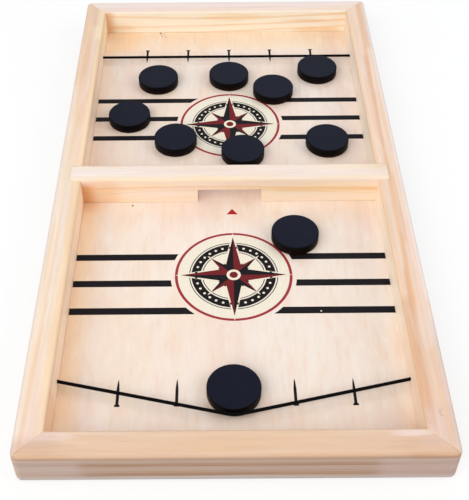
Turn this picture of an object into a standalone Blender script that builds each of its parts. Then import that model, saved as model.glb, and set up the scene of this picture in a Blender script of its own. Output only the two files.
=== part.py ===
"""Sling puck game: a mitred pine tray with a gate bar across its middle, two elastic slings and ten pucks.

Metres, +Z up. X runs across the board and Y along it. The origin lies under its middle, on the surface that
the rails stand on. The near end, where the drawn sling is, is at -Y.
"""
import math

import bmesh
import bpy
from mathutils import Matrix, Vector

# Frame of four mitred rails
BOARD_WIDTH = 0.300
BOARD_LENGTH = 0.560
FRAME_HEIGHT = 0.030
RAIL_WIDTH = 0.021
CORNER_RADIUS = 0.005
OUTER_EDGE_RADIUS = 0.0025
INNER_EDGE_RADIUS = 0.002
JOINT_GAP = 0.0003

# Floor panel, held in a rebate along the foot of the rails
PANEL_THICKNESS = 0.003
PANEL_RECESS = 0.0012
PANEL_BEARING = 0.009
REBATE_CLEARANCE = 0.001

# Gate bar across the middle
BAR_THICKNESS = 0.020
BAR_LET_IN = 0.009
BAR_RISE = 0.0015
BAR_EDGE_RADIUS = 0.0025
GATE_WIDTH = 0.056
GATE_HEIGHT = 0.0148

# Elastic slings
CORD_DIAMETER = 0.0024
SLING_SETBACK = 0.0541
SLING_HEIGHT = 0.0055
SLING_MIDDLE_LENGTH = 0.024
CORD_LEAD = 0.008
CORD_HOLE_DIAMETER = 0.0034
KNOT_DIAMETER = 0.0062
KNOT_LENGTH = 0.0047
KNOT_POCKET_DIAMETER = 0.0080
KNOT_POCKET_DEPTH = 0.0060
PUCK_DRAW = 0.0077

# Pucks
PUCK_DIAMETER = 0.040
PUCK_THICKNESS = 0.0088
PUCK_EDGE_RADIUS = 0.001
PUCK_CLEARANCE = 0.0003
FAR_PUCK_CLEARANCE = 0.0020

# V-nails across the mitres
V_NAIL_LEG = 0.0060
V_NAIL_THICKNESS = 0.0008
V_NAIL_HEIGHT = 0.0080
V_NAIL_INSET = 0.0035
V_NAIL_RECESS = 0.0003

# Brads that hold the floor panel
BRAD_HEAD_DIAMETER = 0.0030
BRAD_HEAD_THICKNESS = 0.0006
BRAD_SHANK_DIAMETER = 0.0013
BRAD_LENGTH = 0.0120
BRAD_POINT = 0.0020
BRAD_END_MARGIN = 0.056

# Counts of repeats and facets
LONG_SIDE_BRADS = 6
SHORT_SIDE_BRADS = 2
BAR_BRADS = 2
CORNER_STEPS = 4
EDGE_STEPS = 4
PUCK_SIDES = 40
PUCK_EDGE_STEPS = 2
HOLE_SIDES = 12
POCKET_SIDES = 20
KNOT_SIDES = 12
KNOT_RINGS = 6
SPAN_POINTS = 16
MIDDLE_POINTS = 9
ROUTE_SAMPLES = 64

# Overrun of every cutter past the face that it opens, and the distance for welding doubled points
OVERRUN = 0.001
WELD_DISTANCE = 0.000001

# Centres of the pucks that lie free, as shares of the court's half width and of a puck's reach to a sling
FREE_PUCK_PLACE_SHARES = {
    "puck_1": (-0.540, 0.905),
    "puck_2": (0.016, 0.932),
    "puck_4": (0.356, 0.807),
    "puck_5": (-0.738, 0.577),
    "puck_6": (-0.385, 0.383),
    "puck_7": (0.103, 0.287),
    "puck_8": (0.720, 0.368),
    "puck_9": (0.423, -0.304),
}
FAR_PUCK_X_SHARE = 0.719
BAR_BRAD_SPREAD_SHARE = 0.60
SHORT_BRAD_SPREAD_SHARE = 0.50
HEAD_SPREAD_SHARE = 0.5

# Sizes that follow from the ones above
HALF_WIDTH = BOARD_WIDTH / 2
HALF_LENGTH = BOARD_LENGTH / 2
COURT_HALF_WIDTH = HALF_WIDTH - RAIL_WIDTH
INNER_HALF_LENGTH = HALF_LENGTH - RAIL_WIDTH
PANEL_TOP = PANEL_RECESS + PANEL_THICKNESS
SHELF_HEIGHT = PANEL_TOP + JOINT_GAP
MITRE_SETBACK = JOINT_GAP / math.sqrt(2)
SLING_Y = INNER_HALF_LENGTH - SLING_SETBACK
SLING_Z = PANEL_TOP + SLING_HEIGHT
CORD_RADIUS = CORD_DIAMETER / 2
PUCK_RADIUS = PUCK_DIAMETER / 2
PUCK_REACH = SLING_Y - CORD_RADIUS - PUCK_RADIUS
PUCK_Z = PANEL_TOP + PUCK_CLEARANCE
KNOT_X = HALF_WIDTH - KNOT_POCKET_DEPTH + JOINT_GAP
BRAD_TIP_Z = PANEL_RECESS - JOINT_GAP - BRAD_HEAD_THICKNESS + BRAD_LENGTH

MATERIALS = {
    "pine": ((0.80, 0.62, 0.44), 0.55, 0.0),
    "bar_pine": ((0.84, 0.66, 0.47), 0.55, 0.0),
    "plywood": ((0.86, 0.70, 0.54), 0.50, 0.0),
    "black_elastic": ((0.012, 0.011, 0.012), 0.75, 0.0),
    "black_paint": ((0.014, 0.014, 0.020), 0.50, 0.0),
    "steel": ((0.55, 0.55, 0.56), 0.35, 1.0),
}


def clear_scene():
    """Removes whatever objects the scene holds."""
    for item in list(bpy.data.objects):
        bpy.data.objects.remove(item, do_unlink=True)


def coat(item, kind):
    """Gives an object its own plain material of a kind from the table."""
    colour, roughness, metallic = MATERIALS[kind]
    material = bpy.data.materials.new(item.name)
    material.use_nodes = True
    shader = material.node_tree.nodes["Principled BSDF"]
    shader.inputs["Base Color"].default_value = (*colour, 1)
    shader.inputs["Roughness"].default_value = roughness
    shader.inputs["Metallic"].default_value = metallic
    material.diffuse_color = (*colour, 1)
    item.data.materials.append(material)
    return item


def mesh_from(shape, name, smooth=False):
    """Turns a bmesh into a mesh with its faces pointing out."""
    bmesh.ops.recalc_face_normals(shape, faces=shape.faces)
    mesh = bpy.data.meshes.new(name)
    shape.to_mesh(mesh)
    shape.free()
    if smooth:
        mesh.shade_smooth()
        mesh.set_sharp_from_angle(angle=math.radians(35))
    return mesh


def place(name, data, location=(0, 0, 0), turn=0.0):
    """Links a new object with this data, turned about Z."""
    item = bpy.data.objects.new(name, data)
    bpy.context.scene.collection.objects.link(item)
    item.location = location
    item.rotation_euler = (0, 0, turn)
    return item


def make_cutter(name, mesh):
    """Links a mesh that only cuts other pieces."""
    item = place(name, mesh)
    item.hide_render = True
    item.display_type = "WIRE"
    return item


def cut(item, cutter):
    """Takes a cutter's shape out of a piece."""
    modifier = item.modifiers.new(cutter.name, "BOOLEAN")
    modifier.operation = "DIFFERENCE"
    modifier.solver = "EXACT"
    modifier.object = cutter


def arc(centre, radius, start, end, steps):
    """Points along an arc in a plane, with angles in degrees."""
    points = []
    for step in range(steps + 1):
        angle = math.radians(start + (end - start) * step / steps)
        points.append((centre[0] + radius * math.cos(angle), centre[1] + radius * math.sin(angle)))
    return points


def loft(name, rings, smooth=False):
    """Skins equal rings of points one after another and closes both ends."""
    shape = bmesh.new()
    loops = [[shape.verts.new(point) for point in ring] for ring in rings]
    count = len(loops[0])
    for low, high in zip(loops, loops[1:]):
        for index in range(count):
            after = (index + 1) % count
            shape.faces.new((low[index], low[after], high[after], high[index]))
    shape.faces.new(loops[0])
    shape.faces.new(loops[-1])
    return mesh_from(shape, name, smooth)


def add_prism(shape, outline, low, high, matrix=None):
    """Adds an upright prism on an XY outline to a bmesh, moved by a matrix."""
    base = shape.faces.new([shape.verts.new((x, y, low)) for x, y in outline])
    grown = bmesh.ops.extrude_face_region(shape, geom=[base])["geom"]
    tops = [item for item in grown if isinstance(item, bmesh.types.BMVert)]
    bmesh.ops.translate(shape, verts=tops, vec=(0, 0, high - low))
    if matrix is not None:
        bmesh.ops.transform(shape, matrix=matrix, verts=list(base.verts) + tops)


def box_outline(x0, x1, y0, y1):
    """The four corners of a rectangle."""
    return [(x0, y0), (x1, y0), (x1, y1), (x0, y1)]


def turned_mesh(name, outline, sides, matrices=(Matrix(),), smooth=False):
    """Spins an outline of (radius, height) points about Z, once for each matrix."""
    shape = bmesh.new()
    for matrix in matrices:
        verts = [shape.verts.new((radius, 0, height)) for radius, height in outline]
        edges = [shape.edges.new(pair) for pair in zip(verts, verts[1:])]
        before = set(shape.verts) - set(verts)
        profile = verts + edges
        bmesh.ops.spin(shape, geom=profile, cent=(0, 0, 0), axis=(0, 0, 1), angle=math.tau, steps=sides)
        fresh = [vert for vert in shape.verts if vert not in before]
        bmesh.ops.remove_doubles(shape, verts=fresh, dist=WELD_DISTANCE)
        fresh = [vert for vert in shape.verts if vert not in before]
        bmesh.ops.transform(shape, matrix=matrix, verts=fresh)
    return mesh_from(shape, name, smooth)


def rail_section():
    """Outline of a rail as (distance in from the outer face, height), with the rebate for the panel."""
    outer, inner = OUTER_EDGE_RADIUS, INNER_EDGE_RADIUS
    rebate = RAIL_WIDTH - PANEL_BEARING - REBATE_CLEARANCE
    points = arc((outer, outer), outer, 270, 180, EDGE_STEPS)
    points += arc((outer, FRAME_HEIGHT - outer), outer, 180, 90, EDGE_STEPS)
    points += arc((RAIL_WIDTH - inner, FRAME_HEIGHT - inner), inner, 90, 0, EDGE_STEPS)
    points += [(RAIL_WIDTH, SHELF_HEIGHT), (rebate, SHELF_HEIGHT), (rebate, 0)]
    return points


def rail_ring(section, half, share, side):
    """The section at a share of the way round the corner: 0 where the corner starts, 1 on the mitre."""
    end = half - MITRE_SETBACK
    ring = []
    for inset, height in section:
        reach = CORNER_RADIUS - inset
        if reach > 0:
            angle = math.radians(45) * share
            along = end - CORNER_RADIUS + reach * math.sin(angle)
            across = CORNER_RADIUS - reach * math.cos(angle)
        else:
            along = end - inset - CORNER_RADIUS * (1 - share)
            across = inset
        ring.append((side * along, across, height))
    return ring


def make_rail(name, half, location, turn):
    """A mitred rail, rounded along its edges and round the outside of its corners."""
    section = rail_section()
    shares = [step / CORNER_STEPS for step in range(CORNER_STEPS + 1)]
    rings = [rail_ring(section, half, share, -1) for share in reversed(shares)]
    rings += [rail_ring(section, half, share, 1) for share in shares]
    return coat(place(name, loft(name, rings, smooth=True), location, turn), "pine")


def brad_places():
    """Where each brad stands: along the rails' rebate and under the gate bar's two legs."""
    across = COURT_HALF_WIDTH + PANEL_BEARING / 2
    along = INNER_HALF_LENGTH + PANEL_BEARING / 2
    reach = HALF_LENGTH - BRAD_END_MARGIN
    places = []
    for side in (-1, 1):
        for index in range(LONG_SIDE_BRADS):
            places.append((side * across, reach * (2 * index / (LONG_SIDE_BRADS - 1) - 1)))
        for index in range(SHORT_SIDE_BRADS):
            spread = COURT_HALF_WIDTH * SHORT_BRAD_SPREAD_SHARE
            places.append((spread * (2 * index / (SHORT_SIDE_BRADS - 1) - 1), side * along))
    for index in range(BAR_BRADS):
        places.append((COURT_HALF_WIDTH * BAR_BRAD_SPREAD_SHARE * (2 * index / (BAR_BRADS - 1) - 1), 0))
    return places


def corner_places():
    """The four outer corners, as the signs of X and Y."""
    return [(x, y) for x in (-1, 1) for y in (-1, 1)]


def corner_name(pattern, sign_x, sign_y):
    """A name that says which corner or which end of a sling a piece is at."""
    return pattern.format("near" if sign_y < 0 else "far", "left" if sign_x < 0 else "right")


def v_nail_outline(allowance):
    """An L in plan with its elbow at the origin, its legs along -X and -Y, thickened by an allowance."""
    half = V_NAIL_THICKNESS / 2 + allowance
    leg = V_NAIL_LEG + allowance
    return [(half, half), (-leg, half), (-leg, -half), (-half, -half), (-half, -leg), (half, -leg)]


def v_nail_place(sign_x, sign_y):
    """Mirrors the L into a corner, with its elbow on the mitre line."""
    inset = V_NAIL_INSET
    corner = Matrix.Translation((sign_x * (HALF_WIDTH - inset), sign_y * (HALF_LENGTH - inset), 0))
    return corner @ Matrix.Diagonal((sign_x, sign_y, 1, 1))


def v_nail_slots():
    """Slots across all four mitres, cut up from the underside."""
    shape = bmesh.new()
    top = V_NAIL_RECESS + V_NAIL_HEIGHT + JOINT_GAP
    for signs in corner_places():
        add_prism(shape, v_nail_outline(JOINT_GAP), -OVERRUN, top, v_nail_place(*signs))
    return make_cutter("v_nail_slots", mesh_from(shape, "v_nail_slots"))


def brad_holes():
    """Blind holes for all brads, from below the panel up past their points."""
    radius = BRAD_SHANK_DIAMETER / 2 + JOINT_GAP
    top = BRAD_TIP_Z + JOINT_GAP
    outline = [(0, -OVERRUN), (radius, -OVERRUN), (radius, top), (0, top)]
    spots = [Matrix.Translation((x, y, 0)) for x, y in brad_places()]
    return make_cutter("brad_holes", turned_mesh("brad_holes", outline, HOLE_SIDES, spots))


def cord_passages():
    """Stepped holes through the side rails: narrow for the cord, wide outside for its knot."""
    hole, pocket = CORD_HOLE_DIAMETER / 2, KNOT_POCKET_DIAMETER / 2
    start = COURT_HALF_WIDTH - OVERRUN
    step = HALF_WIDTH - KNOT_POCKET_DEPTH
    end = HALF_WIDTH + OVERRUN
    outline = [(0, start), (hole, start), (hole, step), (pocket, step), (pocket, end), (0, end)]
    spots = []
    for sign_x, sign_y in corner_places():
        lie = Matrix.Rotation(math.radians(90 * sign_x), 4, "Y")
        spots.append(Matrix.Translation((0, sign_y * SLING_Y, SLING_Z)) @ lie)
    return make_cutter("cord_passages", turned_mesh("cord_passages", outline, POCKET_SIDES, spots))


def bar_housings():
    """Upright grooves in the side rails that the ends of the gate bar are let into."""
    shape = bmesh.new()
    reach = COURT_HALF_WIDTH + BAR_LET_IN + JOINT_GAP
    width = BAR_THICKNESS / 2 + JOINT_GAP
    outline = box_outline(-reach, reach, -width, width)
    add_prism(shape, outline, -OVERRUN, FRAME_HEIGHT + OVERRUN)
    return make_cutter("bar_housings", mesh_from(shape, "bar_housings"))


def bar_shaping():
    """What is cut from the square gate bar: the gate, and the rounding of its top edges."""
    shape = bmesh.new()
    gate = box_outline(-GATE_WIDTH / 2, GATE_WIDTH / 2, -BAR_THICKNESS, BAR_THICKNESS)
    add_prism(shape, gate, 0, PANEL_TOP + GATE_HEIGHT)
    radius = BAR_EDGE_RADIUS
    top = FRAME_HEIGHT + BAR_RISE
    end = COURT_HALF_WIDTH + BAR_LET_IN + OVERRUN
    along = Matrix.Rotation(math.radians(90), 4, "Y") @ Matrix.Rotation(math.radians(90), 4, "Z")
    for side in (-1, 1):
        edge = BAR_THICKNESS / 2
        curve = arc((edge - radius, top - radius), radius, 90, 0, EDGE_STEPS)
        beyond = OVERRUN + edge
        curve += [(beyond, top - radius), (beyond, top + OVERRUN)]
        curve += [(edge - radius, top + OVERRUN)]
        outline = [(side * y, z) for y, z in curve]
        add_prism(shape, outline, -end, end, along)
    return make_cutter("bar_shaping", mesh_from(shape, "bar_shaping"))


def make_frame(slots, holes):
    """The four rails, with the housings, passages and fixing holes cut in them."""
    quarter = math.radians(90)
    rails = {
        "rail_near": make_rail("rail_near", HALF_WIDTH, (0, -HALF_LENGTH, 0), 0),
        "rail_far": make_rail("rail_far", HALF_WIDTH, (0, HALF_LENGTH, 0), 2 * quarter),
        "rail_left": make_rail("rail_left", HALF_LENGTH, (-HALF_WIDTH, 0, 0), -quarter),
        "rail_right": make_rail("rail_right", HALF_LENGTH, (HALF_WIDTH, 0, 0), quarter),
    }
    passages = cord_passages()
    housings = bar_housings()
    for name, rail in rails.items():
        cut(rail, slots)
        cut(rail, holes)
        if name in ("rail_left", "rail_right"):
            cut(rail, passages)
            cut(rail, housings)


def make_panel(holes):
    """The thin floor panel, with brad holes along its edges."""
    half_x = COURT_HALF_WIDTH + PANEL_BEARING
    half_y = INNER_HALF_LENGTH + PANEL_BEARING
    shape = bmesh.new()
    add_prism(shape, box_outline(-half_x, half_x, -half_y, half_y), PANEL_RECESS, PANEL_TOP)
    panel = coat(place("floor_panel", mesh_from(shape, "floor_panel")), "plywood")
    cut(panel, holes)


def make_gate_bar(holes):
    """The bar across the middle, a little higher than the rails it is let into, with the gate cut from its foot."""
    reach = COURT_HALF_WIDTH + BAR_LET_IN
    half = BAR_THICKNESS / 2
    shape = bmesh.new()
    add_prism(shape, box_outline(-reach, reach, -half, half), SHELF_HEIGHT, FRAME_HEIGHT + BAR_RISE)
    bar = coat(place("gate_bar", mesh_from(shape, "gate_bar", smooth=True)), "bar_pine")
    cut(bar, bar_shaping())
    cut(bar, holes)


def make_v_nails():
    """A bent steel plate across each mitre, driven a little way in from the underside."""
    for signs in corner_places():
        shape = bmesh.new()
        top = V_NAIL_RECESS + V_NAIL_HEIGHT
        add_prism(shape, v_nail_outline(0), V_NAIL_RECESS, top, v_nail_place(*signs))
        name = corner_name("v_nail_{}_{}", *signs)
        coat(place(name, mesh_from(shape, name)), "steel")


def make_brads():
    """Small headed nails under the panel, points up."""
    head, shank = BRAD_HEAD_DIAMETER / 2, BRAD_SHANK_DIAMETER / 2
    rim = BRAD_HEAD_THICKNESS
    outline = [(0, 0), (head * HEAD_SPREAD_SHARE, 0), (head, rim / 2), (head, rim)]
    outline += [(shank, rim), (shank, BRAD_LENGTH - BRAD_POINT), (0, BRAD_LENGTH)]
    mesh = turned_mesh("brad", outline, HOLE_SIDES, smooth=True)
    foot = BRAD_TIP_Z - BRAD_LENGTH
    for number, (x, y) in enumerate(brad_places(), start=1):
        name = f"panel_brad_{number}"
        coat(place(name, mesh.copy(), (x, y, foot)), "steel")


def smooth_route(marks, count):
    """Evenly spaced points on a smooth curve through the marks."""
    marks = [Vector(mark) for mark in marks]
    padded = [marks[0] * 2 - marks[1]] + marks + [marks[-1] * 2 - marks[-2]]
    fine = []
    for before, start, end, after in zip(padded, padded[1:], padded[2:], padded[3:]):
        for step in range(ROUTE_SAMPLES):
            t = step / ROUTE_SAMPLES
            pull_in = (end - before) / 2 * (t ** 3 - 2 * t ** 2 + t)
            pull_out = (after - start) / 2 * (t ** 3 - t ** 2)
            rise = 3 * t ** 2 - 2 * t ** 3
            fine.append(start * (1 - rise) + pull_in + end * rise + pull_out)
    fine.append(marks[-1])
    lengths = [0]
    for start, end in zip(fine, fine[1:]):
        lengths.append(lengths[-1] + (end - start).length)
    points = []
    index = 0
    for number in range(count):
        target = lengths[-1] * number / (count - 1)
        while index < len(fine) - 2 and lengths[index + 1] < target:
            index += 1
        gap = lengths[index + 1] - lengths[index]
        points.append(fine[index].lerp(fine[index + 1], (target - lengths[index]) / gap))
    return points


def make_cord(name, points, origin):
    """A round cord along points, with its object's origin at a given place."""
    curve = bpy.data.curves.new(name, "CURVE")
    curve.dimensions = "3D"
    curve.bevel_depth = CORD_RADIUS
    curve.bevel_resolution = 2
    curve.use_fill_caps = True
    spline = curve.splines.new("POLY")
    spline.points.add(len(points) - 1)
    for slot, point in zip(spline.points, points):
        slot.co = (point - origin).to_4d()
    return coat(place(name, curve, origin), "black_elastic")


def drawn_sling_angle():
    """Slope of the drawn cord, which runs from the rail's inner face to touch the puck that it holds."""
    hold = PUCK_RADIUS + PUCK_CLEARANCE + CORD_RADIUS
    distance = math.hypot(COURT_HALF_WIDTH, PUCK_DRAW)
    return math.atan2(PUCK_DRAW, COURT_HALF_WIDTH) + math.asin(hold / distance)


def drawn_sling_depth(x):
    """How far behind its holes the drawn cord's centre line lies at a place across the court."""
    angle = drawn_sling_angle()
    hold = PUCK_RADIUS + PUCK_CLEARANCE + CORD_RADIUS
    if abs(x) < hold * math.sin(angle):
        return PUCK_DRAW + math.sqrt(hold ** 2 - x ** 2)
    return (COURT_HALF_WIDTH - abs(x)) * math.tan(angle)


def resting_sling_depth(x):
    """A cord that nobody draws lies level with its holes all the way across."""
    return 0 * x


def sling_halves(depth):
    """Marks along the left span and the middle of a sling whose cord lies depth(x) behind its holes."""
    half = SLING_MIDDLE_LENGTH / 2
    exit_x = COURT_HALF_WIDTH
    inside = exit_x + (KNOT_X - KNOT_LENGTH - exit_x) / 2
    joint = half + JOINT_GAP
    span = [(-KNOT_X, 0), (-inside, 0), (-exit_x, 0)]
    span += [(-x, depth(x)) for x in (exit_x - CORD_LEAD, exit_x / 2, 2 * half, joint)]
    across = [half * (2 * step / (MIDDLE_POINTS - 1) - 1) for step in range(MIDDLE_POINTS)]
    middle = [(x, depth(x)) for x in across]
    return span, middle


def make_sling(end, sign_y, depth):
    """One elastic: a span each side that stretches, and the middle stretch that is pulled and let go."""
    span, middle = sling_halves(depth)

    def lift(marks, mirror):
        """Marks as points in the board's frame, mirrored for the right side."""
        return [Vector((mirror * x, sign_y * (SLING_Y + back), SLING_Z)) for x, back in marks]

    for side, mirror in (("left", 1), ("right", -1)):
        route = smooth_route(lift(span, mirror), SPAN_POINTS)
        make_cord(f"{end}_sling_{side}", route, route[0])
    centre = Vector((0, sign_y * (SLING_Y + depth(0)), SLING_Z))
    return make_cord(f"{end}_sling_middle", lift(middle, 1), centre)


def make_knots():
    """A stopper knot on each end of each elastic, in its pocket on the rail's outer face."""
    radius = KNOT_DIAMETER / 2
    outline = [(0, 0)]
    for ring in range(KNOT_RINGS):
        share = (ring + 0.5) / KNOT_RINGS
        outline.append((radius * math.sqrt(math.sin(math.pi * share)), KNOT_LENGTH * share))
    outline.append((0, KNOT_LENGTH))
    mesh = turned_mesh("knot", outline, KNOT_SIDES, smooth=True)
    for sign_x, sign_y in corner_places():
        name = corner_name("{}_knot_{}", sign_x, sign_y)
        knot = place(name, mesh.copy(), (sign_x * (KNOT_X + JOINT_GAP), sign_y * SLING_Y, SLING_Z))
        knot.rotation_euler = (0, math.radians(90 * sign_x), 0)
        coat(knot, "black_elastic")


def puck_mesh():
    """A turned disc with softly rounded edges, its foot at the origin."""
    edge, radius = PUCK_EDGE_RADIUS, PUCK_RADIUS
    outline = [(0, 0)]
    outline += arc((radius - edge, edge), edge, 270, 360, PUCK_EDGE_STEPS)
    outline += arc((radius - edge, PUCK_THICKNESS - edge), edge, 0, 90, PUCK_EDGE_STEPS)
    outline.append((0, PUCK_THICKNESS))
    return turned_mesh("puck", outline, PUCK_SIDES, smooth=True)


def make_pucks(sling_middle):
    """Eight pucks in the far court, one free in the near court, and one held in the drawn sling."""
    mesh = puck_mesh()
    for name, (share_x, share_y) in FREE_PUCK_PLACE_SHARES.items():
        spot = (share_x * COURT_HALF_WIDTH, share_y * PUCK_REACH, PUCK_Z)
        coat(place(name, mesh.copy(), spot), "black_paint")
    by_sling = (FAR_PUCK_X_SHARE * COURT_HALF_WIDTH, PUCK_REACH - FAR_PUCK_CLEARANCE, PUCK_Z)
    coat(place("puck_3", mesh.copy(), by_sling), "black_paint")
    held = Vector((0, -SLING_Y - PUCK_DRAW, PUCK_Z))
    puck = coat(place("puck_10", mesh.copy(), held - sling_middle.location), "black_paint")
    puck.parent = sling_middle


def main():
    """Builds the whole game."""
    clear_scene()
    slots = v_nail_slots()
    holes = brad_holes()
    make_frame(slots, holes)
    make_panel(holes)
    make_gate_bar(holes)
    make_v_nails()
    make_brads()
    near_middle = make_sling("near", -1, drawn_sling_depth)
    make_sling("far", 1, resting_sling_depth)
    make_knots()
    make_pucks(near_middle)


main()
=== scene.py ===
"""Looks of the sling puck game: wood, print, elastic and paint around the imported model."""
import math

import bmesh
import bpy
from mathutils import Matrix, Vector


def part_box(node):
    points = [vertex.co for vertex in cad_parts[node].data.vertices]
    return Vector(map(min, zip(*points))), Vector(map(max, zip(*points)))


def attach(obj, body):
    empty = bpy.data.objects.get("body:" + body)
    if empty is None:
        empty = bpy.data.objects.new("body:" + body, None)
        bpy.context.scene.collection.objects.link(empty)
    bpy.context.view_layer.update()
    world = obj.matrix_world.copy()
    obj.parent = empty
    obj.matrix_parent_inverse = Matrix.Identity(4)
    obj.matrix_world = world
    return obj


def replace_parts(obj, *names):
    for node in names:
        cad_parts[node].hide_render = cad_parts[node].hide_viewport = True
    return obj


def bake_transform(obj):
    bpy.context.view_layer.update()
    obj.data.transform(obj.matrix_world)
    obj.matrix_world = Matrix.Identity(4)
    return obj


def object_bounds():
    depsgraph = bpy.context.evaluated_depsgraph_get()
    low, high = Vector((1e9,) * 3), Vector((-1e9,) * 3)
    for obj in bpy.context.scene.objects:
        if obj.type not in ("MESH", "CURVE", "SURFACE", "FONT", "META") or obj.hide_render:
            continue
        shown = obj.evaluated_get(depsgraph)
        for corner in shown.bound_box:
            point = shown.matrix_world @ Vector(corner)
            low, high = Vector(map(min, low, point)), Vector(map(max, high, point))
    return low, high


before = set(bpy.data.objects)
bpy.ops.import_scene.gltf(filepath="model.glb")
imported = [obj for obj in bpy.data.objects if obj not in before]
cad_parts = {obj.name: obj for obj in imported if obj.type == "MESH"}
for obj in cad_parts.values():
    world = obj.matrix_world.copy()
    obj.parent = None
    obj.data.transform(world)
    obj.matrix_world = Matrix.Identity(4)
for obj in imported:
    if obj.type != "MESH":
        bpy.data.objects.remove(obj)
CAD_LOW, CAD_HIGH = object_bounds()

# The photograph's camera, from a fit to the rails, pucks and gate. Pixels count from the top left corner.
IMAGE_WIDTH = 469
IMAGE_HEIGHT = 500
FOCAL_PIXELS = 926.15
CENTRE_X_PIXELS = 213.97
CENTRE_Y_PIXELS = 213.83
CAMERA_PLACE = (-0.011522, -0.604091, 0.569297)
CAMERA_PITCH = math.radians(44.303)
CAMERA_YAW = math.radians(0.233)
CAMERA_ROLL = math.radians(-0.612)
SENSOR_WIDTH = 36.0

# Sizes that the frame doesn't give, in metres
CORD_RADIUS = 0.0013
PUCK_CLEARANCE = 0.0003
PUCK_DRAW = 0.0077
PUCK_EDGE = 0.0010
INK_LIFT = 0.00002
INK_THICKNESS = 0.00002
MERGE = 0.000002
SEAM_CLEARANCE = 0.00001
SEAM_THICKNESS = 0.00028
SEAM_SHRINK_SHARE = 0.999

# Angles in degrees below which a mesh shades smooth
WOOD_SMOOTH_ANGLE = 32
PUCK_SMOOTH_ANGLE = 40
CORD_SMOOTH_ANGLE = 50

# Places in the frame
PANEL_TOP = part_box("floor_panel")[1].z
RAIL_LOW, RAIL_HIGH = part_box("rail_right")
FRAME_TOP = RAIL_HIGH.z
HALF_WIDTH = RAIL_HIGH.x
COURT_HALF_WIDTH = RAIL_LOW.x
HALF_LENGTH = CAD_HIGH.y
INNER_HALF_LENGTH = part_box("rail_far")[0].y
KNOT_LOW, KNOT_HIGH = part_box("far_knot_right")
SLING_Y = (KNOT_LOW.y + KNOT_HIGH.y) / 2
SLING_Z = (KNOT_LOW.z + KNOT_HIGH.z) / 2
CORD_END_X = KNOT_LOW.x - PUCK_CLEARANCE
PUCK_LOW, PUCK_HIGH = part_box("puck_10")
PUCK_RADIUS = (PUCK_HIGH.x - PUCK_LOW.x) / 2

PUCKS = tuple(f"puck_{number}" for number in range(1, 11))
ENDS = (("near", -1), ("far", 1))
SIDES = (("left", -1), ("right", 1))


# Small helpers for shader graphs

def rgb(red, green, blue):
    """Turns an sRGB colour of 0 to 255 into the linear colour that shaders use."""
    def linear(value):
        value = value / 255
        return value / 12.92 if value <= 0.04045 else ((value + 0.055) / 1.055) ** 2.4
    return (linear(red), linear(green), linear(blue), 1.0)


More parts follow.
